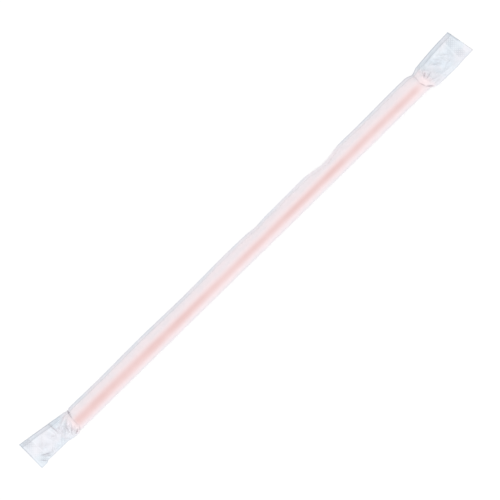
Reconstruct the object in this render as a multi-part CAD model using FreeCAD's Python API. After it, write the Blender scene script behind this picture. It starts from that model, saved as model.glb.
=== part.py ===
import FreeCAD, Part
import math
import os

# Wrapped drinking straw, in millimetres: a straight plastic tube in a sleeve folded from one sheet
# of thin paper. X runs along the straw, +Y points to the long seam and +Z is up. The origin is on
# the surface that the part lies on, under the middle of the straw.

# The plastic straw
STRAW_LENGTH = 197.0
STRAW_OD = 6.35
STRAW_WALL = 0.2

# The paper: its thickness, the room between it and the straw, the air between the plies where
# they lie flat, and how far the flat underside reaches past the straw's lowest line
PAPER = 0.07
SLACK = 0.24
PLY_GAP = 0.1
UNDER_FLAT = 0.6

# The long seam: how far its fold stands out beside the round sleeve, the width of the lapped ply
# that lies on top, and the slow wave of the fold with the angle that it starts from
SEAM_REACH = 2.72
SEAM_LAP = 2.2
SEAM_WAVE = 0.14
SEAM_WAVE_LENGTH = 48.5
SEAM_WAVE_START = 1.0

# The gathers, where the sleeve flattens past each end of the straw: their pleats, the crease that
# rings the straw's rim, and how much sooner the sleeve spreads sideways than it comes down
RIM_GAP = 0.3
GATHER_LENGTH = 8.0
GATHER_PLEATS = 3
PLEAT_DEPTH = 0.45
RIM_CREASE = 0.35
CREASE_WIDTH = 1.0
SHOULDER = 3.0

# The flat ends: paper past the straw, what small waves take off the full width, how far the middle
# of the flat lies off the straw's axis, and how soon it widens on the seam's side and on the far
# side (1 is evenly, more is sooner)
SQUARE_END_LENGTH = 22.6
SQUARE_END_TAKE = 0.3
SQUARE_END_SHIFT = 3.05
SQUARE_END_FLARE = 1.0
SQUARE_END_FAR_FLARE = 1.0
SLANTED_END_LENGTH = 23.2
SLANTED_END_TAKE = 0.8
SLANTED_END_SHIFT = 1.35
SLANTED_END_FLARE = 1.8
SLANTED_END_FAR_FLARE = 12.0
SLANT = 2.4

# The crimped seals across both ends, the plain paper outside them, the way in which the plies come
# together, and the knurl: half the width of a diamond's foot and of its top
SEAL_WIDTH = 4.0
SEAL_RAMP = 1.0
SQUARE_END_MARGIN = 0.9
SLANTED_END_MARGIN = 2.5
KNURL_PITCH = 1.15
KNURL_HEIGHT = 0.1
DIAMOND_FOOT = 0.345
DIAMOND_TOP = 0.086

# Tucks in the seam's fold: place as a share of half the straw, depth, half length and lift
TUCKS = (
    (-0.991, 0.35, 1.6, 0.0),
    (0.09, 0.5, 6.0, 0.5),
    (0.468, 1.5, 11.0, 1.5),
    (0.984, 0.85, 3.0, 0.3),
)

# The underside is drawn this much too low and then cut flat where it lies on the surface
UNDERCUT = 0.02

# How far what is cut away reaches past the part
SPARE = 5.0

# How finely the sleeve is drawn: the room between its sections along the straw, in a gather and in
# a flat, the least room between two, and the spans of the curves in a section
STRAW_STEP = 16.5
GATHER_STEP = 1.15
FLAT_STEP = 4.0
LEAST_STEP = 0.2
SPANS = {"crown": 8, "slope": 3, "far side": 3, "underside": 4}

RIM = STRAW_LENGTH / 2
GATHER_START = RIM + RIM_GAP
RADIUS = STRAW_OD / 2 + SLACK + PAPER
SEAM_FOLD = RADIUS + SEAM_REACH
PRESSED = 2 * PAPER
FLAT = PRESSED + PLY_GAP
# Half the sleeve's girth: both straight plies to the fold, and the arc round the straw
LAY_FLAT = SEAM_FOLD + RADIUS * (math.pi / 2 + math.atan(RADIUS / SEAM_FOLD))


class FlatEnd:
    # One end of the sleeve. side is -1 or 1 along X
    def __init__(self, side, length, margin, width, shift, flare, far_flare):
        self.side = side
        self.fold = width / 2 + shift
        self.back = width / 2 - shift
        self.flare = flare
        self.far_flare = far_flare
        self.tip = RIM + length
        self.seal = self.tip - margin - SEAL_WIDTH
        self.widening_length = self.tip - GATHER_START

    def widening(self, x, flare):
        # 0 at the straw's rim, 1 at the tip
        share = min(max((abs(x) - GATHER_START) / self.widening_length, 0.0), 1.0)
        return 1 - (1 - share) ** flare


SQUARE_END = FlatEnd(
    side=-1,
    length=SQUARE_END_LENGTH,
    margin=SQUARE_END_MARGIN,
    width=LAY_FLAT - SQUARE_END_TAKE,
    shift=SQUARE_END_SHIFT,
    flare=SQUARE_END_FLARE,
    far_flare=SQUARE_END_FAR_FLARE,
)
SLANTED_END = FlatEnd(
    side=1,
    length=SLANTED_END_LENGTH,
    margin=SLANTED_END_MARGIN,
    width=LAY_FLAT - SLANTED_END_TAKE,
    shift=SLANTED_END_SHIFT,
    flare=SLANTED_END_FLARE,
    far_flare=SLANTED_END_FAR_FLARE,
)


def blend(start, end, share):
    return start + (end - start) * share


def ease(share):
    share = min(max(share, 0.0), 1.0)
    return share * share * (3 - 2 * share)


def end_at(x):
    return SQUARE_END if x < 0 else SLANTED_END


def fullness(past_rim):
    # 1 where the sleeve is round over the straw, 0 where it lies flat
    share = min(max(past_rim / GATHER_LENGTH, 0.0), 1.0)
    return 1 - (share + ease(share)) / 2


def tuck_depth(x):
    return sum(depth * (1 - ease(abs(x - place * RIM) / half)) for place, depth, half, lift in TUCKS)


def tuck_lift(x):
    return sum(lift * (1 - ease(abs(x - place * RIM) / half)) for place, depth, half, lift in TUCKS)


def fold_y(x):
    # The seam's fold, seen from above
    wave = SEAM_WAVE * math.cos(2 * math.pi * x / SEAM_WAVE_LENGTH + SEAM_WAVE_START)
    sleeve = SEAM_FOLD + wave * ease((RIM - abs(x)) / GATHER_LENGTH) - tuck_depth(x)
    end = end_at(x)
    return blend(sleeve, end.fold, end.widening(x, end.flare))


def back_y(x):
    # The side away from the seam, seen from above
    end = end_at(x)
    return -blend(RADIUS, end.back, end.widening(x, end.far_flare))


def flat_height(x):
    # The plies lie a little apart in the flats and are pressed together in the seals
    return blend(FLAT, PRESSED, ease((abs(x) - end_at(x).seal) / SEAL_RAMP + 1))


class Section:
    # The sleeve across X. inset is 0 for its outer face and PAPER for its inner face. full tells how
    # round the sleeve is in height and narrow how round it is in width
    def __init__(self, x, inset):
        self.x = x
        self.inset = inset
        self.radius = RADIUS - inset
        # The inner face comes down earlier, so that the paper keeps its thickness on the slope
        self.past_rim = abs(x) + inset - GATHER_START
        self.full = fullness(self.past_rim)
        self.narrow = self.full ** SHOULDER
        self.flat = flat_height(x) - inset
        self.lift = tuck_lift(x)
        self.bottom = inset if inset > 0 else -UNDERCUT
        self.fold = fold_y(x) - 2 * inset
        self.fold_z = self.lift + self.flat
        self.back = back_y(x) + inset
        # The upper ply runs straight from the fold to where it touches the round of the straw
        reach = math.hypot(self.fold, self.fold_z - RADIUS)
        self.straight = math.sqrt(reach ** 2 - self.radius ** 2)
        aim = math.atan2(self.fold_z - RADIUS, self.fold)
        self.touch = aim + math.acos(self.radius / reach)
        self.path = self.straight + self.radius * (math.pi - self.touch)
        self.touch_share = self.straight / self.path

    def round_point(self, share):
        along = share * self.path
        angle = self.touch + max(along - self.straight, 0.0) / self.radius
        y = self.radius * math.cos(angle)
        z = RADIUS + self.radius * math.sin(angle)
        part = min(along / self.straight, 1.0)
        return blend(self.fold, y, part), blend(self.fold_z, z, part)

    def upper(self, share):
        # The upper ply, from the fold (0) over the straw to the far side (1)
        round_y, round_z = self.round_point(share)
        hump = math.sin(math.pi * share)
        halfway = 4 * self.full * (1 - self.full)
        pleat = PLEAT_DEPTH * halfway * math.cos(2 * math.pi * GATHER_PLEATS * share)
        crease = RIM_CREASE * (1 - ease(abs(self.past_rim / CREASE_WIDTH - 1)))
        y = blend(blend(self.fold, self.back, share), round_y, self.narrow)
        z = blend(self.flat, round_z, self.full) + hump * (pleat - crease)
        return y, max(z, self.flat)

    def side(self, share):
        # Down the far side to the underside, a quarter of an ellipse
        width = blend(0, self.radius - UNDER_FLAT, self.full)
        top = blend(self.flat, RADIUS, self.full)
        start = blend(self.back, -self.radius, self.narrow)
        angle = share * math.pi / 2
        return start + width * (1 - math.cos(angle)), top - (top - self.bottom) * math.sin(angle)

    def lower(self, share):
        # Along the underside to the fold, which a tuck lifts
        return blend(self.side(1)[0], self.fold, share), self.bottom + self.lift * share ** 4

    def point(self, spot):
        return FreeCAD.Vector(self.x, spot[0], spot[1])

    def line(self, start, end):
        return Part.makeLine(self.point(start), self.point(end))

    def curve(self, ply, start, end, spans):
        if self.full == 0:
            return self.line(ply(start), ply(end))
        spots = [self.point(ply(blend(start, end, i / spans))) for i in range(spans + 1)]
        spline = Part.BSplineCurve()
        spline.interpolate(Points=spots, Parameters=[float(i) for i in range(spans + 1)])
        return spline.toShape()

    def crown(self):
        if self.full < 1:
            return self.curve(self.upper, self.touch_share, 1, SPANS["crown"])
        middle = (self.touch_share + 1) / 2
        spots = [self.point(self.upper(share)) for share in (self.touch_share, middle, 1)]
        return Part.Arc(*spots).toShape()

    def slope(self, start):
        if self.full < 1:
            return self.curve(self.upper, start, self.touch_share, SPANS["slope"])
        return self.line(self.upper(start), self.upper(self.touch_share))

    def underside(self):
        if self.lift > 0:
            return self.curve(self.lower, 0, 1, SPANS["underside"])
        return self.line(self.lower(0), self.lower(1))

    def wire(self):
        lap = SEAM_LAP / self.path
        far_side = self.curve(self.side, 0, 1, SPANS["far side"])
        edges = [self.slope(lap), self.crown(), far_side, self.underside()]
        fold = self.upper(0)
        if self.inset == 0:
            # The lapped ply lies on the upper ply, between its raw edge and the fold
            foot = self.upper(lap)
            tilt = math.atan2(foot[1] - fold[1], fold[0] - foot[0])
            fold_top = (fold[0], fold[1] + PAPER / math.cos(tilt))
            raw_edge = (foot[0] + PAPER * math.sin(tilt), foot[1] + PAPER * math.cos(tilt))
            edges.append(self.line(self.lower(1), fold_top))
            edges.append(self.line(fold_top, raw_edge))
            edges.append(self.line(raw_edge, foot))
        else:
            edges.append(self.line(self.lower(1), fold))
            edges.append(self.line(fold, self.upper(lap)))
        return Part.Wire(edges)


def spread(start, end, step):
    # Places from start to end, about one step apart
    count = max(round((end - start) / step), 1)
    return [blend(start, end, i / count) for i in range(count + 1)]


def stations():
    # Where the sleeve gets a section: along the straw, close together in tucks and gathers
    places = spread(-GATHER_START, GATHER_START, STRAW_STEP)
    for place, depth, half, lift in TUCKS:
        middle = place * RIM
        places += [x for x in spread(middle - half, middle + half, half / 2) if abs(x) < RIM]
    for end in (SQUARE_END, SLANTED_END):
        flat_start = GATHER_START + GATHER_LENGTH
        places += [end.side * x for x in spread(GATHER_START, flat_start, GATHER_STEP)]
        places += [end.side * x for x in spread(flat_start, end.seal - SEAL_RAMP, FLAT_STEP)]
    ordered = sorted(places)
    return [x for x, before in zip(ordered, [-math.inf] + ordered) if x - before > LEAST_STEP]


def diamond(x, y, base):
    # A low four-sided frustum, set corner to corner with its neighbours
    foot = DIAMOND_FOOT
    top = DIAMOND_TOP
    height = PAPER + KNURL_HEIGHT
    frustum = Part.makeWedge(-foot, 0, -foot, -top, -top, foot, height, foot, top, top)
    frustum.rotate(FreeCAD.Vector(), FreeCAD.Vector(1, 0, 0), 90)
    frustum.rotate(FreeCAD.Vector(), FreeCAD.Vector(0, 0, 1), 45)
    frustum.translate(FreeCAD.Vector(x, y, base))
    return frustum


def knurl(end, base):
    # Staggered rows of diamonds over one seal
    middle_x = end.side * (end.seal + SEAL_WIDTH / 2)
    middle_y = (fold_y(middle_x) + back_y(middle_x)) / 2
    width = fold_y(middle_x) - back_y(middle_x)
    rows = int(SEAL_WIDTH / KNURL_PITCH * 2) - 1
    across = int(width / KNURL_PITCH) - 1
    diamonds = []
    for row in range(rows):
        count = across - row % 2
        for column in range(count):
            x = middle_x + (row - (rows - 1) / 2) * KNURL_PITCH / 2
            y = middle_y + (column - (count - 1) / 2) * KNURL_PITCH
            diamonds.append(diamond(x, y, base))
    return diamonds


def surface_offcut():
    # Everything below the surface that the part lies on
    length = SQUARE_END.tip + SLANTED_END.tip + 2 * SPARE
    corner = FreeCAD.Vector(-SQUARE_END.tip - SPARE, -LAY_FLAT, -SPARE)
    return Part.makeBox(length, 2 * LAY_FLAT, SPARE, corner)


def slant_offcut(end):
    # What the slanting cut takes off the tip, most on the seam's side
    near = back_y(end.tip)
    width = fold_y(end.tip) - near
    corners = [
        (end.tip, near),
        (end.tip + SPARE, near),
        (end.tip + SPARE, near + width + SPARE),
        (end.tip - SLANT * (width + SPARE) / width, near + width + SPARE),
        (end.tip, near),
    ]
    outline = Part.makePolygon([FreeCAD.Vector(x, y, -SPARE) for x, y in corners])
    return Part.Face(outline).extrude(FreeCAD.Vector(0, 0, 2 * SPARE))


def build_wrapper():
    inside = stations()
    outside = list(inside)
    for end in (SQUARE_END, SLANTED_END):
        outside += [end.side * end.seal, end.side * end.tip]
    sheet = Part.makeLoft([Section(x, 0.0).wire() for x in sorted(outside)], True, True)
    pocket = Part.makeLoft([Section(x, PAPER).wire() for x in inside], True, True)
    bumps = knurl(SQUARE_END, PAPER) + knurl(SLANTED_END, PAPER)
    pits = knurl(SQUARE_END, -PAPER) + knurl(SLANTED_END, -PAPER)
    return sheet.fuse(bumps).cut(pits + [pocket, surface_offcut(), slant_offcut(SLANTED_END)])


def build_straw():
    # A plain tube, cut square at both ends
    foot = FreeCAD.Vector(-RIM, 0, RADIUS)
    along = FreeCAD.Vector(1, 0, 0)
    tube = Part.makeCylinder(STRAW_OD / 2, STRAW_LENGTH, foot, along)
    bore = Part.makeCylinder(STRAW_OD / 2 - STRAW_WALL, STRAW_LENGTH, foot, along)
    return tube.cut(bore)


os.makedirs("parts", exist_ok=True)
for name, shape in (("straw", build_straw()), ("wrapper", build_wrapper())):
    print(name, "valid", shape.isValid(), "solids", len(shape.Solids), "volume", round(shape.Volume, 2))
    shape.exportStep(f"parts/{name}.step")
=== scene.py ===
import math
import random

import bmesh
import bpy
from bpy.props import FloatProperty, FloatVectorProperty, IntProperty, PointerProperty
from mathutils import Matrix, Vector, noise


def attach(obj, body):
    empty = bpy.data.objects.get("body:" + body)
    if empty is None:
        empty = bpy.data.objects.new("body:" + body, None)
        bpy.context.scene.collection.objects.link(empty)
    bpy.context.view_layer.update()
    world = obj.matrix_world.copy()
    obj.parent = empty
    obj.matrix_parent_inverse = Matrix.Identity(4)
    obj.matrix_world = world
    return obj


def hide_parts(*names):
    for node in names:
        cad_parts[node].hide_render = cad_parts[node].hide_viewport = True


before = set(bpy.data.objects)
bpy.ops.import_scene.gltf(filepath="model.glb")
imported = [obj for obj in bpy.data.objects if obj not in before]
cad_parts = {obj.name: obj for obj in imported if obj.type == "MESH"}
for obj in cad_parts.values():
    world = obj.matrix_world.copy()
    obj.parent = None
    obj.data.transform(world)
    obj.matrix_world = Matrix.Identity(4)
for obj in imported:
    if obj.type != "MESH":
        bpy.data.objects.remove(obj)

bl_info = {
    "name": "Wrapped Drinking Straw",
    "version": (1, 0, 0),
    "blender": (4, 2, 0),
    "location": "View3D > Sidebar > Straw",
    "description": "Plastic straw in a thin paper sleeve with a lapped seam and crimped ends",
    "category": "Object",
}

# Lengths of the sleeve are in millimetres here, and become metres where a vertex is made
MM = 0.001

# The straw inside
RIM = 98.5
STRAW_RADIUS = 3.175

# The paper: thickness, room round the straw, air between plies that lie flat, flat underside
PAPER = 0.07
SLACK = 0.24
PLY_GAP = 0.1
UNDER_FLAT = 0.6

# The long seam: reach of its fold, width of the lapped ply, and the slow wave of the fold
SEAM_REACH = 2.72
SEAM_LAP = 2.2
SEAM_WAVE = 0.14
SEAM_WAVE_LENGTH = 48.5
SEAM_WAVE_START = 1.0

# The gathers past each end of the straw
RIM_GAP = 0.3
GATHER_LENGTH = 8.0
GATHER_PLEATS = 3
PLEAT_DEPTH = 0.45
RIM_CREASE = 0.35
CREASE_WIDTH = 1.0
SHOULDER = 3.0

# The crimped seals
SEAL_WIDTH = 4.0
SEAL_RAMP = 1.0
KNURL_PITCH = 1.15

# Tucks in the seam's fold: place as a share of half the straw, depth, half length and lift, and
# the columns of two of these
TUCK_DEPTH = 1
TUCK_LIFT = 3
TUCKS = (
    (-0.991, 0.35, 1.6, 0.0),
    (0.09, 0.5, 6.0, 0.5),
    (0.468, 1.5, 11.0, 1.5),
    (0.984, 0.85, 3.0, 0.3),
)

# Least room between the paper and the straw where a crease presses it down
LEAST_ROOM = 0.06

# How far before a gather the sleeve's mesh gets fine, and the divisions round it: the far side,
# the underside and the lapped ply, and the inner skin's top, far side and underside
FINE_START = 4
SIDE_DIVISIONS = 10
LOWER_DIVISIONS = 16
LAP_DIVISIONS = 14
INNER_DIVISIONS = (48, 8, 12)

# Ripples that folding leaves in the gathers, in the flats and along the straw: how fast they
# change along X and across it, their layer of the noise, their height and their mean
GATHER_RIPPLE = (0.35, 0.9, 1.0, 0.35, 0.15)
FLAT_RIPPLE = (0.16, 0.22, 7.0, 0.5, 0.2)
SLEEVE_RIPPLE = (0.07, 5.0, 4.0, 0.12, 0.0)

# How far before a seal they start to die out, within which share of a ply they do so at its edges,
# and how much of a crease's height is lost in the seals
RIPPLE_END = 5.0
EDGE_HOLD = 1 / 12
SEAL_HOLD = 0.7

# The lapped ply: how round its fold is, how many sheets it stands up, and how its width varies, in
# the same terms as the ripples
FOLD_ROUNDING = 0.8
LAP_LIFT = 1.2
LAP_RIPPLE = (0.2, 5.0, 0.0, 0.12, 1.0)

# Creases in the paper: from (x, y), to (x, y), half width, height (below zero is a valley), and
# how strong the painted shade along it is
CREASES = (
    # round the straw's left rim, from the notch in the fold, and across the flat
    (-97.5, 6.6, -97.7, 2.5, 0.6, -0.5, 1.0),
    (-97.7, 2.5, -97.6, -1.7, 0.6, -0.4, 0.3),
    (-97.6, -1.7, -99.2, -3.7, 0.6, -0.4, 0.45),
    (-106.9, 7.9, -106.0, 1.4, 0.8, 0.8, 0.5),
    (-107.4, -2.7, -98.6, 4.2, 1.3, 0.75, 0.3),
    (-106.6, 1.8, -103.6, 3.4, 0.9, 0.5, 0.2),
    # puckers at the left rim
    (-102.4, -3.0, -98.6, -0.8, 0.7, 0.8, 0.2),
    (-101.4, -3.3, -98.9, -2.2, 0.5, -0.5, 0.6),
    (-102.4, -2.3, -99.6, 0.4, 0.6, 0.7, 0.6),
    (-102.6, -0.9, -101.4, 2.6, 0.6, 0.7, 0.5),
    (-103.4, 0.9, -100.0, 3.4, 0.6, 0.6, 0.3),
    (-103.6, 3.4, -99.0, 5.6, 0.7, 0.6, 0.3),
    # small wrinkles in the left end's lower corner
    (-119.2, -0.8, -117.4, -2.9, 0.5, 0.35, 0.5),
    (-117.8, 0.4, -114.0, -1.7, 0.55, 0.45, 0.7),
    (-117.0, -0.8, -114.4, -2.6, 0.5, 0.35, 0.5),
    # soft dents in the left flat
    (-118.2, 5.4, -111.0, 0.2, 1.3, 0.55, 0.1),
    (-112.0, 5.6, -116.4, 1.0, 1.2, 0.45, 0.1),
    (-110.4, 5.8, -107.8, -2.2, 1.2, 0.5, 0.1),
    # the pinch at the straw's right rim and the deep crease beside it
    (97.0, 5.2, 96.0, 1.0, 0.7, -0.4, 0.35),
    (96.0, 1.0, 97.0, -1.7, 0.7, -0.5, 0.6),
    (97.0, -1.7, 99.5, -3.6, 0.7, -0.6, 0.85),
    # puckers at the right rim
    (98.4, 2.2, 102.4, 4.4, 0.7, 0.7, 0.2),
    (98.8, 0.2, 102.6, 0.9, 0.6, 0.7, 0.4),
    (98.8, 1.3, 101.0, 2.6, 0.5, -0.5, 0.35),
    (99.0, -1.2, 103.6, -2.4, 0.7, 0.7, 0.25),
    (98.6, 4.2, 101.8, 6.2, 0.6, 0.5, 0.3),
    # long soft folds in the right flat
    (101.5, 4.6, 108.5, 5.2, 1.0, 0.5, 0.15),
    (104.6, 3.0, 108.6, 0.6, 0.9, 0.55, 0.35),
    (107.4, 3.8, 109.6, 1.2, 0.9, 0.5, 0.3),
    (109.6, 3.2, 111.2, -1.8, 1.2, 0.5, 0.1),
    (104.0, -2.4, 112.6, -3.4, 1.1, 0.45, 0.1),
    (110.5, -3.6, 114.5, 2.2, 1.2, 0.4, 0.1),
)

# Which part of half a wave a crease's height follows, and half the width of its painted shade line
CREASE_SWELL = (0.1, 0.9)
CREASE_MARK = 0.42

# Small random creases in each flat end: their number, half length, half width, height, painted
# shade
LOOSE_CREASES = 16
LOOSE_REACH = (1.2, 3.2)
LOOSE_HALF = (0.5, 1.2)
LOOSE_RISE = (-0.1, 0.35)
LOOSE_SHADE = (0, 0.25)

# How far the far side's edge stands out beyond its plain line: place along X and distance
EDGE_BULGES = (
    (-120.2, 0.0),
    (-118.4, 0.05),
    (-116.8, -0.5),
    (-106.2, -0.42),
    (-103.9, 0.05),
    (-101.9, 0.3),
    (-100.4, 0.5),
    (-98.8, -0.25),
    (-97.6, 0.0),
    (97.0, 0.0),
    (98.5, 0.1),
    (100.0, 0.9),
    (101.7, 0.55),
    (104.0, 0.0),
    (112.0, 0.0),
    (117.5, -0.35),
    (121.7, -0.45),
)

# How the straw shows through the paper, painted into the paper's colour: the distances between
# which it fades, near it and as a wider glow, how much faster it does so past the rim, the places
# along X between which it fades at each end, and how much of it is left past the left one
NEAR_FADE = (0.3, 1.5)
GLOW_FADE = (0.2, 6.0)
PAST_RIM_RATE = 1.7
LEFT_FADE = (-98.6, -96.4)
RIGHT_FADE = (91.5, 98.8)
LEFT_REMAINS = 0.1

# The stripe is wider and stronger at its left end: from where to where along X that ends, how
# slowly it falls off there and how strong it is
WIDE_STRIPE = (-80.0, 0.0)
WIDE_FALLOFF = 0.62
WIDE_STRENGTH = 1.12

# How strong the painted shade on the lapped ply and along the fold is beside the straw: place
# along X, and both shares
FIN_TONES = (
    (-98.0, 0.55, 0.35),
    (-50.0, 0.5, 0.3),
    (5.0, 0.25, 0.2),
    (30.0, 0.15, 0.05),
    (53.0, 0.0, 0.0),
    (56.0, 0.15, 0.5),
    (80.0, 0.3, 0.6),
    (98.0, 0.6, 0.8),
)

# Where the jaws have marked the paper most: middle (x, y) and half width of the patch
JAW_MARKS = (
    (117.0, 3.8, 3.2),
    (117.0, -1.3, 3.2),
    (-117.6, -1.8, 2.6),
    (-118.2, 7.6, 3.4),
)

# How strongly they have marked it: everywhere, how far and how fast that varies, its layer of the
# noise, how much more in those patches, and how steeply the marks set in along a seal
JAW_USUAL = 0.45
JAW_VARIES = 0.4
JAW_RATE = 0.4
JAW_LAYER = 3.6
JAW_EXTRA = 0.6
JAW_ONSET = 3

# What each point of the paper carries for its look: how far it is glued double (painted shade, as
# two plies let less light through), and the painted shade along an edge, along a crease and
# between the diamonds of the knurl, with the glue's darker tone under the raw edge
MARKS = ("lap", "edge", "crease", "pressed")

# The painted shade lines along the edges: their width along the folds, how strong the far side's
# is, their width at the cut ends away from the seam, and where across the sleeve the seam's side
# starts
FOLD_MARK = 0.45
BACK_SHADE = 0.7
TIP_MARK = 0.5
SEAM_SIDE = (1.5, 3.0)

# The raw edge of the lapped ply: the half width of its painted shadow line and of the glue under
# it, and how dark the glue looks
RAW_MARK = 0.25
GLUE_MARK = 1.2
GLUE_DARK = 0.5

# Noise in the paper: how fine its fibres are along X and across it, the scale of its clouds, of
# its warmer parts and of the patches in which the straw shows more, and the range of each that is
# used
FIBRE_SCALE = (500.0, 1600.0, 1600.0)
CLOUD_SCALE = 260.0
WARM_SCALE = 130.0
PATCH_SCALE = 70.0
NOISE_RANGE = (0.3, 0.7)
CLOUD_RANGE = (0.35, 0.65)
WARM_RANGE = (0.4, 0.6)

# How much the straw shows in its fainter and its stronger patches, how much of its glow is left
# where the paper is seen edge on, and how much of it the lapped ply holds back
PATCH_STRENGTH = (0.85, 1.1)
GLOW_EDGE_ON = 0.3
LAP_HOLDS = 0.8

# How strongly the painted shade along the edges and between the diamonds takes the shade's colour
EDGE_SHADE_STRENGTH = 0.7
PIT_SHADE_STRENGTH = 0.5

# The plastic: the scale of the lines drawn along it and of its clouds, and how it bends light
DRAWN_SCALE = (40.0, 900.0, 900.0)
PLASTIC_CLOUD_SCALE = 90.0
PLASTIC_IOR = 1.49


class FlatEnd:
    # One end of the sleeve. length is the paper past the straw, margin the paper past the seal,
    # shift how far the flat paper lies towards the seam, flare and far_flare how early its two
    # edges come out, and slant how far the cut leans. tip_shade and tip_band say how strong the
    # painted shade along the cut is, away from the seam and on its side, and how wide it is on the
    # seam's side
    def __init__(
        self, side, length, margin, width, shift, flare, far_flare, slant, tip_shade, tip_band
    ):
        self.side = side
        self.fold = width / 2 + shift
        self.back = width / 2 - shift
        self.flare = flare
        self.far_flare = far_flare
        self.tip = RIM + length
        self.seal = self.tip - margin - SEAL_WIDTH
        self.slant = slant
        self.tip_shade = tip_shade
        self.tip_band = tip_band

    def widening(self, x, flare):
        share = min(max((abs(x) - GATHER_START) / (self.tip - GATHER_START), 0.0), 1.0)
        return 1 - (1 - share) ** flare


def blend(start, end, share):
    return start + (end - start) * share


def ease(share):
    share = min(max(share, 0.0), 1.0)
    return share * share * (3 - 2 * share)


def spread(start, end, count):
    return [blend(start, end, i / count) for i in range(count + 1)]


GATHER_START = RIM + RIM_GAP
RADIUS = STRAW_RADIUS + SLACK + PAPER
SEAM_FOLD = RADIUS + SEAM_REACH
PRESSED = 2 * PAPER
FLAT = PRESSED + PLY_GAP
LAY_FLAT = SEAM_FOLD + RADIUS * (math.pi / 2 + math.atan(RADIUS / SEAM_FOLD))
SQUARE_END = FlatEnd(
    side=-1,
    length=22.6,
    margin=0.9,
    width=LAY_FLAT - 0.3,
    shift=3.05,
    flare=1.0,
    far_flare=1.0,
    slant=0.0,
    tip_shade=(0.9, 1.1),
    tip_band=0.8,
)
SLANTED_END = FlatEnd(
    side=1,
    length=23.2,
    margin=2.5,
    width=LAY_FLAT - 0.8,
    shift=1.35,
    flare=1.8,
    far_flare=12.0,
    slant=2.4,
    tip_shade=(0.1, 1.1),
    tip_band=1.5,
)


def end_at(x):
    return SQUARE_END if x < 0 else SLANTED_END


def fullness(past_rim):
    share = min(max(past_rim / GATHER_LENGTH, 0.0), 1.0)
    return 1 - (share + ease(share)) / 2


def tuck(x, column):
    return sum(row[column] * (1 - ease(abs(x - row[0] * RIM) / row[2])) for row in TUCKS)


def fold_y(x):
    phase = 2 * math.pi * x / SEAM_WAVE_LENGTH + SEAM_WAVE_START
    wave = SEAM_WAVE * math.cos(phase) * ease((RIM - abs(x)) / GATHER_LENGTH)
    end = end_at(x)
    return blend(SEAM_FOLD + wave - tuck(x, TUCK_DEPTH), end.fold, end.widening(x, end.flare))


def along(rows, x):
    # The values of a table at x, with an easy passage from row to row
    for (start, *low), (stop, *high) in zip(rows, rows[1:]):
        if x <= stop:
            share = ease((x - start) / (stop - start))
            return [blend(first, last, share) for first, last in zip(low, high)]
    return list(rows[-1][1:])


def edge_bulge(x):
    return along(EDGE_BULGES, x)[0] if EDGE_BULGES[0][0] <= x <= EDGE_BULGES[-1][0] else 0.0


def back_y(x):
    end = end_at(x)
    return -blend(RADIUS, end.back, end.widening(x, end.far_flare))


def seal_share(x):
    return ease((abs(x) - end_at(x).seal + SEAL_RAMP) / SEAL_RAMP)


def ripple_at(row, x, across):
    x_rate, rate, layer, height, mean = row
    return height * noise.noise(Vector((x * x_rate, across * rate, layer))) + mean


def loose_creases(end, chance):
    # Small random creases in one flat end
    made = []
    for number in range(LOOSE_CREASES):
        x = end.side * chance.uniform(GATHER_START + 2, end.seal)
        y = chance.uniform(back_y(x) + 1, fold_y(x) - SEAM_LAP)
        turn = chance.uniform(0, math.pi)
        reach = chance.uniform(*LOOSE_REACH)
        ends = (x - reach * math.cos(turn), y - reach * math.sin(turn))
        ends += (x + reach * math.cos(turn), y + reach * math.sin(turn))
        half = chance.uniform(*LOOSE_HALF)
        rise = chance.uniform(*LOOSE_RISE)
        crease_shade = chance.uniform(*LOOSE_SHADE)
        made.append(ends + (half, rise, crease_shade))
    return made


def within(value, start, end, margin):
    return min(start, end) - margin < value < max(start, end) + margin


def creases_at(x, y, creases):
    # Height and painted shade that the creases give one spot: tents with a sharp crest and sharp
    # feet
    height = 0.0
    painted_shade = 0.0
    for x0, y0, x1, y1, half, rise, crease_shade in creases:
        if not (within(x, x0, x1, half) and within(y, y0, y1, half)):
            continue
        run = (x1 - x0, y1 - y0)
        share = ((x - x0) * run[0] + (y - y0) * run[1]) / (run[0] ** 2 + run[1] ** 2)
        share = min(max(share, 0.0), 1.0)
        off = math.hypot(x - x0 - run[0] * share, y - y0 - run[1] * share) / half
        if off < 1:
            swell = math.sin(math.pi * blend(*CREASE_SWELL, share))
            height += rise * (1 - off) * swell
            painted_shade = max(painted_shade, crease_shade * max(1 - off * half / CREASE_MARK, 0.0) * swell)
    return height, painted_shade


def knurl(x, y):
    # 1 on top of a diamond, 0 between diamonds, and how strongly the jaws have marked this spot
    end = end_at(x)
    inside = ease((abs(x) - end.seal) * JAW_ONSET)
    inside *= ease((end.seal + SEAL_WIDTH - abs(x)) * JAW_ONSET)
    if inside == 0:
        return 0.0, 0.0
    rising = 0.5 + 0.5 * math.cos(2 * math.pi * (x + y) / KNURL_PITCH)
    falling = 0.5 + 0.5 * math.cos(2 * math.pi * (x - y) / KNURL_PITCH)
    drift = noise.noise(Vector((x * JAW_RATE, y * JAW_RATE, JAW_LAYER)))
    marked = JAW_USUAL + JAW_VARIES * drift
    for middle_x, middle_y, half in JAW_MARKS:
        marked += JAW_EXTRA * (1 - ease(math.hypot(x - middle_x, y - middle_y) / half))
    return rising * falling, inside * min(marked, 1.0)


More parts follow.
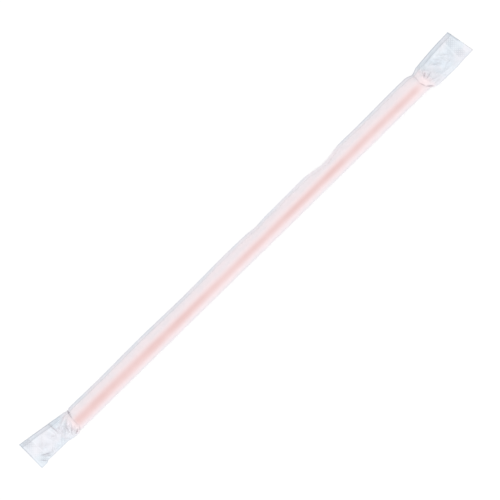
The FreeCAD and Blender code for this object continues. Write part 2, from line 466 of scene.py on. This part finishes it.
class Section:
    # The sleeve's cross-section at x. inset is 0 for its outer face and PAPER for its inner face
    def __init__(self, x, inset, wrinkle, creases):
        self.x = x
        self.inset = inset
        self.wrinkle = wrinkle
        self.creases = [row for row in creases if within(x, row[0], row[2], row[4])]
        self.radius = RADIUS - inset
        self.past_rim = abs(x) + inset - GATHER_START
        self.full = fullness(self.past_rim)
        # 1 halfway through a gather, 0 beside it
        self.gather = 4 * self.full * (1 - self.full)
        self.narrow = self.full ** SHOULDER
        self.flat = blend(FLAT, PRESSED, seal_share(x)) - inset
        self.lift = tuck(x, TUCK_LIFT)
        self.fold = fold_y(x) - 2 * inset
        self.fold_z = self.lift + self.flat
        self.back = back_y(x) + inset
        self.bulge = edge_bulge(x)
        reach = math.hypot(self.fold, self.fold_z - RADIUS)
        self.straight = math.sqrt(reach ** 2 - self.radius ** 2)
        aim = math.atan2(self.fold_z - RADIUS, self.fold)
        self.touch = aim + math.acos(self.radius / reach)
        self.path = self.straight + self.radius * (math.pi - self.touch)

    def round_point(self, share):
        run = share * self.path
        angle = self.touch + max(run - self.straight, 0.0) / self.radius
        part = min(run / self.straight, 1.0)
        y = blend(self.fold, self.radius * math.cos(angle), part)
        return y, blend(self.fold_z, RADIUS + self.radius * math.sin(angle), part)

    def ripple(self, y, share):
        # Small creases that the folding leaves, strongest in the gathers, none in the seal
        loose = math.sin(math.pi * min(share * self.path / self.straight, 1.0)) * self.full
        height = self.gather * ripple_at(GATHER_RIPPLE, self.x, y)
        height += (1 - self.full) * ripple_at(FLAT_RIPPLE, self.x, y)
        height += loose * ripple_at(SLEEVE_RIPPLE, self.x, share)
        return height * ease((end_at(self.x).seal - abs(self.x)) / RIPPLE_END)

    def upper(self, share):
        round_y, round_z = self.round_point(share)
        y = blend(blend(self.fold, self.back, share), round_y, self.narrow)
        y -= self.bulge * share ** 3
        pleat = PLEAT_DEPTH * math.cos(2 * math.pi * GATHER_PLEATS * share) * self.gather
        rim = RIM_CREASE * (1 - ease(abs(self.past_rim / CREASE_WIDTH - 1)))
        z = blend(self.flat, round_z, self.full) + math.sin(math.pi * share) * (pleat - rim)
        crease, _ = creases_at(self.x, y, self.creases)
        crease *= 1 - SEAL_HOLD * seal_share(self.x)
        free = min(share / EDGE_HOLD, 1.0) * min((1 - share) / EDGE_HOLD, 1.0)
        z += self.wrinkle * (self.ripple(y, share) + crease) * free
        return self.clear(y, max(z, self.flat))

    def clear(self, y, z):
        # No crease reaches the straw
        room = STRAW_RADIUS + LEAST_ROOM + PAPER - self.inset
        off = math.hypot(y, z - RADIUS)
        if self.past_rim > 0 or off >= room or z < RADIUS:
            return y, z
        return y * room / off, RADIUS + (z - RADIUS) * room / off

    def side(self, share):
        width = blend(0, self.radius - UNDER_FLAT, self.full)
        top = blend(self.flat, RADIUS, self.full)
        start = blend(self.back, -self.radius, self.narrow) - self.bulge
        angle = share * math.pi / 2
        return start + width * (1 - math.cos(angle)), top - (top - self.inset) * math.sin(angle)

    def lower(self, share):
        return blend(self.side(1)[0], self.fold, share), self.inset + self.lift * share ** 4

    def around(self, top_shares, side_divisions, lower_divisions):
        # Over the top, down the far side and back along the underside
        spots = [self.upper(share) for share in top_shares]
        spots += [self.side(share) for share in spread(0.0, 1.0, side_divisions)[1:]]
        spots += [self.lower(share) for share in spread(0.0, 1.0, lower_divisions)[1:]]
        return spots

    def lap_share(self):
        # Where the lapped ply ends, a little unevenly
        return SEAM_LAP / self.path * ripple_at(LAP_RIPPLE, self.x, 1.0)

    def lap_spots(self):
        # The lapped ply on top, from the fold to its raw edge, with the fold's rounding first
        under_z = self.lower(1)[1]
        edge_y, edge_z = self.upper(0)
        middle = (edge_z + PAPER + under_z) / 2
        half = (edge_z + PAPER - under_z) / 2
        spots = []
        for angle in (-math.pi / 4, 0.0, math.pi / 4):
            reach = half * math.cos(angle) * FOLD_ROUNDING
            spots.append((edge_y + reach, middle + half * math.sin(angle)))
        for share in spread(0.0, self.lap_share(), LAP_DIVISIONS):
            y, z = self.upper(share)
            spots.append((y, z + PAPER * LAP_LIFT))
        return spots


def slanted(x, y):
    # The tip cut aslant: nothing moves at the far side, most at the seam
    end = end_at(x)
    if end.slant == 0:
        return x
    far_y = back_y(end.tip)
    share = min(max((y - far_y) / (fold_y(end.tip) - far_y), 0.0), 1.0)
    start = end.seal + SEAL_WIDTH / 2
    return x - end.side * end.slant * share * ease((abs(x) - start) / (end.tip - start))


def edge_shade_and_glue(section, y, raw_y, lap, fold_shade):
    # Painted shade along the paper's fold, its far edge and its cut end, a painted shadow line at
    # its raw edge, and the darker tone of the glue under that edge
    end = end_at(section.x)
    flatness = 1 - section.full
    near_fold = 1 - ease((section.fold - y) / FOLD_MARK)
    near_fold *= blend(1.0, fold_shade, section.full)
    near_back = 1 - ease((y - section.back + section.bulge) / FOLD_MARK)
    near_back *= BACK_SHADE * flatness
    seam_side = ease((y - SEAM_SIDE[0]) / (SEAM_SIDE[1] - SEAM_SIDE[0]))
    near_tip = 1 - ease((end.tip - abs(section.x)) / blend(TIP_MARK, end.tip_band, seam_side))
    near_tip *= blend(*end.tip_shade, seam_side)
    glue = GLUE_DARK * (1 - ease(abs(y - raw_y) / GLUE_MARK)) * flatness
    near_raw = lap * max(glue, 1 - ease(abs(y - raw_y) / RAW_MARK))
    return max(near_fold, near_back, near_tip, near_raw)


class SheetMesh:
    # Loops of points stitched into a skin, with the marks that the paper's look reads
    def __init__(self):
        self.bm = bmesh.new()
        self.layers = [self.bm.verts.layers.float.new(name) for name in MARKS]

    def skin(self, loops, marks, inwards):
        rings = []
        for loop, mark in zip(loops, marks):
            ring = []
            for point, values in zip(loop, mark):
                vert = self.bm.verts.new([length * MM for length in point])
                for layer, value in zip(self.layers, values):
                    vert[layer] = value
                ring.append(vert)
            rings.append(ring)
        for before, after in zip(rings, rings[1:]):
            for i in range(len(before)):
                j = (i + 1) % len(before)
                corners = (before[i], before[j], after[j], after[i])
                self.bm.faces.new(corners[::-1] if inwards else corners)
        caps = [rings[0][::-1], rings[-1]]
        if inwards:
            caps = [cap[::-1] for cap in caps]
        bmesh.ops.triangulate(self.bm, faces=[self.bm.faces.new(cap) for cap in caps])

    def finish(self, name):
        mesh = bpy.data.meshes.new(name)
        self.bm.to_mesh(mesh)
        self.bm.free()
        for polygon in mesh.polygons:
            polygon.use_smooth = True
        return mesh


def outer_loop(x, settings, creases):
    section = Section(x, 0.0, settings.wrinkle, creases)
    top_shares = spread(section.lap_share(), 1.0, settings.girth_divisions)
    spots = section.around(top_shares, SIDE_DIVISIONS, LOWER_DIVISIONS)
    first_lap = len(spots)
    spots += section.lap_spots()
    raw_y = spots[-1][0]
    lap_shade, fold_shade = along(FIN_TONES, x)
    loop = []
    marks = []
    for number, (y, z) in enumerate(spots):
        lapped = number >= first_lap
        real_x = slanted(x, y)
        bump, marked = knurl(real_x, y)
        loop.append((real_x, y, z + bump * marked * settings.knurl_depth / MM))
        on_top = z > section.flat or lapped or number < settings.girth_divisions
        # Painted shade along the creases, on the upper ply only
        crease = creases_at(x, y, section.creases)[1] if on_top else 0.0
        lap = blend(1.0, lap_shade, section.full) if lapped else 0.0
        edge = edge_shade_and_glue(section, y, raw_y, lap, fold_shade)
        # The pressed mark is painted shade between the knurl's diamonds, strongest where the jaws
        # marked the paper most
        marks.append((lap, edge, crease, marked * (1 - bump)))
    return loop, marks


def inner_loop(x, settings, creases):
    section = Section(x, PAPER, settings.wrinkle, creases)
    top, side, lower = INNER_DIVISIONS
    spots = section.around(spread(0.0, 1.0, top), side, lower)
    return [(x, y, z) for y, z in spots], [(0.0,) * len(MARKS)] * len(spots)


def sleeve_places(fine, coarse, reach_of):
    # Places along X, close together from a little before the straw's rims on, wide apart between
    start = GATHER_START - FINE_START
    places = spread(-start, start, round(2 * start / coarse))[1:-1]
    for end in (SQUARE_END, SLANTED_END):
        count = round((reach_of(end) - start) / fine)
        places += [end.side * x for x in spread(start, reach_of(end), count)]
    return sorted(places)


class Nodes:
    # A node tree with short calls to add and link nodes
    def __init__(self, tree):
        self.tree = tree
        self.count = 0

    def add(self, kind, values=(), **facts):
        node = self.tree.nodes.new("ShaderNode" + kind)
        node.location = (200 * self.count, 0)
        self.count += 1
        for name, value in facts.items():
            setattr(node, name, value)
        for key, value in dict(values).items():
            if isinstance(value, bpy.types.NodeSocket):
                self.tree.links.new(value, node.inputs[key])
            else:
                node.inputs[key].default_value = value
        return node

    def math(self, operation, *values, clamp=False):
        node = self.add("Math", dict(enumerate(values)), operation=operation, use_clamp=clamp)
        return node.outputs[0]

    def mix(self, factor, first, tint, blend_type="MIX"):
        # A colour Mix node: its factor is input 0, its colours are 6 and 7, its result output 2
        values = {0: factor, 6: first, 7: (*tint, 1.0)}
        return self.add("Mix", values, data_type="RGBA", blend_type=blend_type).outputs[2]

    def step(self, value, start, end, low, high):
        values = {0: value, 1: start, 2: end, 3: low, 4: high}
        node = self.add("MapRange", values, interpolation_type="SMOOTHSTEP", clamp=True)
        return node.outputs[0]

    def noise(self, place, scale, detail):
        values = {"Vector": place, "Scale": scale, "Detail": detail}
        return self.add("TexNoise", values).outputs["Fac"]

    def drawn_out(self, place, scale, detail):
        # Noise with a scale of its own along each axis
        stretched = self.add("Mapping", {"Vector": place, "Scale": scale}).outputs["Vector"]
        return self.noise(stretched, 1.0, detail)

    def principled(self, colour, rough, normal):
        values = {"Base Color": colour, "Roughness": rough, "Normal": normal}
        return self.add("BsdfPrincipled", values)


def new_material(name):
    material = bpy.data.materials.new(name)
    material.use_nodes = True
    material.node_tree.nodes.clear()
    return material, Nodes(material.node_tree)


def straw_nearness_group():
    # How near a point is to the straw's outside: 1 beside it, 0 well away, and a wider glow.
    # Crest is 1 along the top of the straw, where the paper lies on it, and 0 at its sides
    group = bpy.data.node_groups.new("Straw Nearness", "ShaderNodeTree")
    group.interface.new_socket("Vector", in_out="INPUT", socket_type="NodeSocketVector")
    for name in ("Near", "Glow", "Crest"):
        group.interface.new_socket(name, in_out="OUTPUT", socket_type="NodeSocketFloat")
    nodes = Nodes(group)
    inlet = group.nodes.new("NodeGroupInput")
    outlet = group.nodes.new("NodeGroupOutput")
    parts = nodes.add("SeparateXYZ", {0: inlet.outputs["Vector"]})
    height = nodes.math("SUBTRACT", parts.outputs["Z"], RADIUS * MM)
    off_middle = nodes.math("POWER", parts.outputs["Y"], 2.0)
    radius = nodes.math("SQRT", nodes.math("MULTIPLY_ADD", height, height, off_middle))
    crest = nodes.math("DIVIDE", height, radius, clamp=True)
    radial = nodes.math("SUBTRACT", radius, STRAW_RADIUS * MM)
    radial = nodes.math("POWER", nodes.math("MAXIMUM", radial, 0.0), 2.0)
    past = nodes.math("SUBTRACT", nodes.math("ABSOLUTE", parts.outputs["X"]), RIM * MM)
    past = nodes.math("MULTIPLY", nodes.math("MAXIMUM", past, 0.0), PAST_RIM_RATE)
    distance = nodes.math("SQRT", nodes.math("MULTIPLY_ADD", past, past, radial))
    distance = nodes.math("DIVIDE", distance, MM)
    place = nodes.math("DIVIDE", parts.outputs["X"], MM)
    near = nodes.step(distance, *NEAR_FADE, 1.0, 0.0)
    near = nodes.math("MULTIPLY", near, nodes.step(place, *LEFT_FADE, LEFT_REMAINS, 1.0))
    near = nodes.math("MULTIPLY", near, nodes.step(place, *RIGHT_FADE, 1.0, 0.0))
    glow = nodes.step(distance, *GLOW_FADE, 1.0, 0.0)
    for name, value in (("Near", near), ("Glow", glow), ("Crest", crest)):
        group.links.new(value, outlet.inputs[name])
    return group


def plastic_material(settings):
    material, nodes = new_material("straw_plastic_red")
    place = nodes.add("TexCoord").outputs["Object"]
    drawn = nodes.drawn_out(place, DRAWN_SCALE, 2.0)
    cloud = nodes.noise(place, PLASTIC_CLOUD_SCALE, 2.0)
    colour = nodes.mix(cloud, (*settings.colour_deep, 1.0), settings.colour)
    rough = settings.roughness
    rough = nodes.step(drawn, *NOISE_RANGE, rough * 0.8, rough * 1.25)
    bump = nodes.add("Bump", {"Height": drawn, "Strength": 0.15, "Distance": 0.00002})
    shader = nodes.principled(colour, rough, bump.outputs[0])
    shader.inputs["IOR"].default_value = PLASTIC_IOR
    nodes.add("OutputMaterial", {"Surface": shader.outputs[0]})
    return material


def straw_seen(nodes, settings, place, group):
    # How far the straw's own colour comes through, painted into the paper's colour: a stripe along
    # its top, in fainter and stronger patches
    along_x = nodes.math("DIVIDE", nodes.add("SeparateXYZ", {0: place}).outputs["X"], MM)
    falloff = settings.falloff
    falloff = nodes.step(along_x, *WIDE_STRIPE, falloff * WIDE_FALLOFF, falloff)
    seen = nodes.math("POWER", group.outputs["Crest"], falloff)
    seen = nodes.math("MULTIPLY", group.outputs["Near"], seen)
    fainter, stronger = (settings.show_through * share for share in PATCH_STRENGTH)
    patches = nodes.noise(place, PATCH_SCALE, 2.0)
    strength = nodes.step(patches, *NOISE_RANGE, fainter, stronger)
    wide = nodes.step(along_x, *WIDE_STRIPE, WIDE_STRENGTH, 1.0)
    strength = nodes.math("MULTIPLY", strength, wide)
    return nodes.math("MULTIPLY", seen, strength, clamp=True)


def straw_glow(nodes, settings, group, lap):
    # How far the paper takes on the straw's light: most where it is seen square on and is single
    facing = nodes.add("LayerWeight", {"Blend": 0.5}).outputs["Facing"]
    square_on = nodes.math("SUBTRACT", 1.0, facing)
    share = nodes.math("MULTIPLY_ADD", square_on, 1.0 - GLOW_EDGE_ON, GLOW_EDGE_ON)
    glow = nodes.math("MULTIPLY", group.outputs["Glow"], share)
    glow = nodes.math("MULTIPLY", glow, settings.glow)
    single = nodes.math("SUBTRACT", 1.0, nodes.math("MULTIPLY", lap, LAP_HOLDS))
    return nodes.math("MULTIPLY", glow, single)


def paper_material(settings):
    material, nodes = new_material("wrapper_thin_paper")
    place = nodes.add("TexCoord").outputs["Object"]
    group = nodes.add("Group", node_tree=straw_nearness_group())
    material.node_tree.links.new(place, group.inputs["Vector"])
    lap, edge, crease, pressed = (
        nodes.add("Attribute", attribute_name=name).outputs["Fac"] for name in MARKS
    )
    fibre = nodes.drawn_out(place, FIBRE_SCALE, 4.0)
    cloud = nodes.noise(place, CLOUD_SCALE, 3.0)
    warm = nodes.step(nodes.noise(place, WARM_SCALE, 1.0), *WARM_RANGE, 0.0, 1.0)
    colour = nodes.mix(warm, (*settings.tint, 1.0), settings.tint_warm)
    clouded = nodes.step(cloud, *CLOUD_RANGE, 1.0, 0.0)
    colour = nodes.mix(clouded, colour, settings.tint_dark, "MULTIPLY")
    # Painted shade where the paper lies double
    colour = nodes.mix(lap, colour, settings.lap_shade_tint, "MULTIPLY")
    colour = nodes.mix(straw_glow(nodes, settings, group, lap), colour, settings.glow_tint)
    # The straw's show-through, painted into the paper's colour
    colour = nodes.mix(straw_seen(nodes, settings, place, group), colour, settings.red_seen)
    # Painted shade along the edges and between the knurl's diamonds, with the glue's darker tone,
    # then painted shade along the creases
    edge = nodes.math("MULTIPLY", edge, EDGE_SHADE_STRENGTH)
    pressed = nodes.math("MULTIPLY", pressed, PIT_SHADE_STRENGTH)
    painted_shade = nodes.math("MAXIMUM", edge, pressed)
    colour = nodes.mix(painted_shade, colour, settings.shade_and_glue_tint, "MULTIPLY")
    colour = nodes.mix(crease, colour, settings.crease_shade_tint, "MULTIPLY")
    relief = nodes.math("MULTIPLY_ADD", fibre, 0.5, nodes.math("MULTIPLY", cloud, 0.5))
    bump = nodes.add("Bump", {"Height": relief, "Strength": 0.25, "Distance": 0.00008})
    rough = settings.roughness
    rough = nodes.step(fibre, *NOISE_RANGE, rough * 0.9, rough * 1.1)
    shader = nodes.principled(colour, rough, bump.outputs[0])
    through = nodes.add("BsdfTranslucent", {"Color": colour, "Normal": bump.outputs[0]})
    both = {0: settings.translucency, 1: shader.outputs[0], 2: through.outputs[0]}
    sheet = nodes.add("MixShader", both)
    nodes.add("OutputMaterial", {"Surface": sheet.outputs[0]})
    return material


class StrawSettings(bpy.types.PropertyGroup):
    colour: FloatVectorProperty(
        name="Red",
        description="Colour of the plastic",
        subtype="COLOR",
        size=3,
        min=0.0,
        max=1.0,
        default=(0.82, 0.07, 0.05),
    )
    colour_deep: FloatVectorProperty(
        name="Deep red",
        description="Colour of the plastic in its cloudier parts",
        subtype="COLOR",
        size=3,
        min=0.0,
        max=1.0,
        default=(0.7, 0.05, 0.04),
    )
    roughness: FloatProperty(
        name="Roughness",
        description="Roughness of the plastic",
        default=0.25,
        min=0.0,
        max=1.0,
        subtype="FACTOR",
    )


class SleeveSettings(bpy.types.PropertyGroup):
    wrinkle: FloatProperty(
        name="Wrinkle",
        description="How strongly the paper is creased",
        default=1.4,
        min=0.0,
        max=2.0,
    )
    knurl_depth: FloatProperty(
        name="Knurl depth",
        description="Height of the knurl pressed into the seals",
        default=0.00018,
        min=0.0,
        max=0.0005,
        precision=5,
        unit="LENGTH",
    )
    girth_divisions: IntProperty(
        name="Girth divisions",
        description="Faces round the upper ply",
        default=92,
        min=12,
        max=120,
    )
    fine_step: FloatProperty(
        name="Fine step",
        description="Length of a face in the flat ends",
        default=0.00015,
        min=0.0001,
        max=0.002,
        precision=5,
        unit="LENGTH",
    )
    coarse_step: FloatProperty(
        name="Coarse step",
        description="Length of a face along the straw",
        default=0.0011,
        min=0.0003,
        max=0.01,
        precision=5,
        unit="LENGTH",
    )
    tint: FloatVectorProperty(
        name="Paper",
        description="Colour of the paper",
        subtype="COLOR",
        size=3,
        min=0.0,
        max=1.0,
        default=(0.835, 0.88, 0.93),
    )
    tint_warm: FloatVectorProperty(
        name="Paper, warmer",
        description="Colour of the paper where it looks more lavender than blue",
        subtype="COLOR",
        size=3,
        min=0.0,
        max=1.0,
        default=(0.87, 0.87, 0.915),
    )
    tint_dark: FloatVectorProperty(
        name="Paper, denser",
        description="What the colour is multiplied by where the fibres are denser",
        subtype="COLOR",
        size=3,
        min=0.0,
        max=1.0,
        default=(0.95, 0.96, 0.97),
    )
    # Painted shade where the paper lies double and lets less light through
    lap_shade_tint: FloatVectorProperty(
        name="Lap",
        description="What the colour is multiplied by where the paper is glued double",
        subtype="COLOR",
        size=3,
        min=0.0,
        max=1.0,
        default=(0.88, 0.89, 0.9),
    )
    # Painted shade along the fold, the far edge, the cut ends, the raw edge and between the
    # knurl's diamonds, and the glue's darker tone
    shade_and_glue_tint: FloatVectorProperty(
        name="Edge",
        description="What the colour is multiplied by along the fold, the cut ends and the knurl",
        subtype="COLOR",
        size=3,
        min=0.0,
        max=1.0,
        default=(0.63, 0.65, 0.68),
    )
    # Painted shade along the creases
    crease_shade_tint: FloatVectorProperty(
        name="Crease",
        description="What the colour is multiplied by along a dense crease",
        subtype="COLOR",
        size=3,
        min=0.0,
        max=1.0,
        default=(0.44, 0.39, 0.42),
    )
    glow_tint: FloatVectorProperty(
        name="Glow",
        description="Colour that the straw's light gives the paper round it",
        subtype="COLOR",
        size=3,
        min=0.0,
        max=1.0,
        default=(0.99, 0.82, 0.83),
    )
    glow: FloatProperty(
        name="Glow strength",
        description="Strength of that glow",
        default=0.8,
        min=0.0,
        max=1.0,
        subtype="FACTOR",
    )
    # The straw's show-through is painted into the paper's colour
    red_seen: FloatVectorProperty(
        name="Straw through paper",
        description="Colour of the straw as the paper lets it through",
        subtype="COLOR",
        size=3,
        min=0.0,
        max=1.0,
        default=(0.805, 0.565, 0.552),
    )
    show_through: FloatProperty(
        name="Show-through",
        description="How much the straw shows through the paper",
        default=0.9,
        min=0.0,
        max=1.0,
        subtype="FACTOR",
    )
    falloff: FloatProperty(
        name="Falloff",
        description="How fast the straw fades away from its top, where the paper lies on it",
        default=9.0,
        min=0.5,
        max=10.0,
    )
    translucency: FloatProperty(
        name="Translucency",
        description="Share of the light that the paper lets through",
        default=0.15,
        min=0.0,
        max=1.0,
        subtype="FACTOR",
    )
    roughness: FloatProperty(
        name="Roughness",
        description="Roughness of the paper",
        default=0.5,
        min=0.0,
        max=1.0,
        subtype="FACTOR",
    )


class StageSettings(bpy.types.PropertyGroup):
    heading: FloatProperty(
        name="Heading",
        description="Turn of the camera round the vertical",
        default=math.radians(-44.38),
        subtype="ANGLE",
    )
    lens: FloatProperty(
        name="Lens",
        description="Focal length of the camera in millimetres",
        default=150.0,
        min=20.0,
        unit="CAMERA",
    )
    width: FloatProperty(
        name="Width seen",
        description="Width of the picture on the surface that the straw lies on",
        default=0.2021,
        unit="LENGTH",
        precision=4,
    )
    rise: FloatProperty(
        name="Rise",
        description="How far the picture's middle lies above the straw's, in pixels",
        default=2.3,
        subtype="PIXEL",
    )
    drift: FloatProperty(
        name="Drift",
        description="How far the picture's middle lies left of the straw's, in pixels",
        default=0.1,
        subtype="PIXEL",
    )
    sky: FloatProperty(
        name="Sky",
        description="Strength of the even light",
        default=0.95,
        min=0.0,
    )
    key: FloatProperty(
        name="Key light",
        description="Power of the large soft light in watts",
        default=6.0,
        min=0.0,
        unit="POWER",
    )


class OBJECT_OT_wrapped_straw_plastic(bpy.types.Operator):
    """Give the straw its red plastic"""

    bl_idname = "object.wrapped_straw_plastic"
    bl_label = "Straw Plastic"
    bl_options = {"REGISTER", "UNDO"}

    def execute(self, context):
        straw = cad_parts["straw"]
        straw.data.materials.clear()
        straw.data.materials.append(plastic_material(context.scene.wrapped_straw_plastic))
        return {"FINISHED"}


class OBJECT_OT_wrapped_straw_sleeve(bpy.types.Operator):
    """Build the paper sleeve with its seam, gathers, creases and knurled seals"""

    bl_idname = "object.wrapped_straw_sleeve"
    bl_label = "Paper Sleeve"
    bl_options = {"REGISTER", "UNDO"}

    def execute(self, context):
        settings = context.scene.wrapped_straw_sleeve
        fine = settings.fine_step / MM
        coarse = settings.coarse_step / MM
        chance = random.Random(11)
        creases = list(CREASES)
        for end in (SQUARE_END, SLANTED_END):
            creases += loose_creases(end, chance)
        sheet = SheetMesh()
        for make, step, wide, reach_of, inwards in (
            (outer_loop, fine, coarse, lambda end: end.tip, False),
            (inner_loop, 4 * fine, 2 * coarse, lambda end: end.seal - SEAL_RAMP, True),
        ):
            made = [make(x, settings, creases) for x in sleeve_places(step, wide, reach_of)]
            sheet.skin([loop for loop, marks in made], [marks for loop, marks in made], inwards)
        mesh = sheet.finish("paper_sleeve")
        sleeve = bpy.data.objects.new("paper_sleeve", mesh)
        context.scene.collection.objects.link(sleeve)
        mesh.materials.append(paper_material(settings))
        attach(sleeve, "root")
        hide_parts("wrapper")
        return {"FINISHED"}


# The stage: the floor's half width, height, shade and how far it is lifted to white where the
# camera sees it, the large light's diameter and place, and the picture's width in pixels
FLOOR_HALF = 3.0
FLOOR_Z = -0.0001
FLOOR_SHADE = 0.95
FLOOR_LIFT = 0.6
KEY_SIZE = 0.5
KEY_PLACE = (-0.3, -0.25, 1.5)
PICTURE_WIDTH = 500
WHITE = (1.0, 1.0, 1.0, 1.0)


def floor_material():
    # White sweep: lit like any surface, and lifted towards pure white where the camera sees it
    material, nodes = new_material("stage_sweep")
    shader = nodes.add("BsdfDiffuse", {"Color": (FLOOR_SHADE, FLOOR_SHADE, FLOOR_SHADE, 1.0)})
    white = nodes.add("Emission", {"Color": WHITE, "Strength": 1.0})
    path = nodes.add("LightPath")
    lift = nodes.math("MULTIPLY", path.outputs["Is Camera Ray"], FLOOR_LIFT)
    mixed = nodes.add("MixShader", {0: lift, 1: shader.outputs[0], 2: white.outputs[0]})
    nodes.add("OutputMaterial", {"Surface": mixed.outputs[0]})
    return material


def white_floor():
    bm = bmesh.new()
    corners = ((-1, -1), (1, -1), (1, 1), (-1, 1))
    bm.faces.new([bm.verts.new((x * FLOOR_HALF, y * FLOOR_HALF, FLOOR_Z)) for x, y in corners])
    mesh = bpy.data.meshes.new("stage_sweep")
    bm.to_mesh(mesh)
    bm.free()
    mesh.materials.append(floor_material())
    return bpy.data.objects.new("stage_sweep", mesh)


def even_sky(strength):
    # The camera sees it at full strength, and the rest of the scene at its own
    world = bpy.data.worlds.new("stage_sky")
    world.use_nodes = True
    world.node_tree.nodes.clear()
    nodes = Nodes(world.node_tree)
    path = nodes.add("LightPath").outputs["Is Camera Ray"]
    seen = nodes.math("MULTIPLY_ADD", path, 1.0 - strength, strength)
    sky = nodes.add("Background", {"Color": WHITE, "Strength": seen})
    nodes.add("OutputWorld", {"Surface": sky.outputs[0]})
    return world


def key_light(power):
    light = bpy.data.lights.new("stage_key", "AREA")
    light.shape = "DISK"
    light.size = KEY_SIZE
    light.energy = power
    key = bpy.data.objects.new("stage_key", light)
    key.location = KEY_PLACE
    key.rotation_euler = (-Vector(key.location)).to_track_quat("-Z", "Y").to_euler()
    return key


def overhead_camera(settings):
    data = bpy.data.cameras.new("stage_camera")
    data.lens = settings.lens
    data.sensor_width = 36.0
    data.clip_start = 0.01
    data.clip_end = 20.0
    camera = bpy.data.objects.new("stage_camera", data)
    right = Vector((math.cos(settings.heading), math.sin(settings.heading), 0.0))
    up = Vector((-math.sin(settings.heading), math.cos(settings.heading), 0.0))
    pixel = settings.width / PICTURE_WIDTH
    camera.location = up * settings.rise * pixel - right * settings.drift * pixel
    camera.location.z = settings.width * settings.lens / data.sensor_width
    camera.rotation_euler = (0.0, 0.0, settings.heading)
    return camera


class OBJECT_OT_wrapped_straw_stage(bpy.types.Operator):
    """Lay the white sweep and set the camera and the soft lights"""

    bl_idname = "object.wrapped_straw_stage"
    bl_label = "Stage"
    bl_options = {"REGISTER", "UNDO"}

    def execute(self, context):
        scene = context.scene
        settings = scene.wrapped_straw_stage
        scene.world = even_sky(settings.sky)
        floor = white_floor()
        key = key_light(settings.key)
        camera = overhead_camera(settings)
        for thing in (floor, key, camera):
            scene.collection.objects.link(thing)
        scene.camera = camera
        scene.view_settings.view_transform = "Standard"
        return {"FINISHED"}


class VIEW3D_PT_wrapped_straw(bpy.types.Panel):
    bl_label = "Wrapped Straw"
    bl_space_type = "VIEW_3D"
    bl_region_type = "UI"
    bl_category = "Straw"

    def draw(self, context):
        for operator in OPERATORS:
            self.layout.operator(operator.bl_idname)


SETTINGS = {
    "wrapped_straw_plastic": StrawSettings,
    "wrapped_straw_sleeve": SleeveSettings,
    "wrapped_straw_stage": StageSettings,
}
OPERATORS = (
    OBJECT_OT_wrapped_straw_plastic,
    OBJECT_OT_wrapped_straw_sleeve,
    OBJECT_OT_wrapped_straw_stage,
)


def register():
    for name, group in SETTINGS.items():
        bpy.utils.register_class(group)
        setattr(bpy.types.Scene, name, PointerProperty(type=group))
    for operator in OPERATORS:
        bpy.utils.register_class(operator)
    bpy.utils.register_class(VIEW3D_PT_wrapped_straw)


def unregister():
    bpy.utils.unregister_class(VIEW3D_PT_wrapped_straw)
    for operator in reversed(OPERATORS):
        bpy.utils.unregister_class(operator)
    for name, group in SETTINGS.items():
        delattr(bpy.types.Scene, name)
        bpy.utils.unregister_class(group)


def main():
    register()
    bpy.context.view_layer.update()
    bpy.ops.object.wrapped_straw_plastic()
    bpy.ops.object.wrapped_straw_sleeve()
    bpy.ops.object.wrapped_straw_stage()


if __name__ == "__main__":
    main()
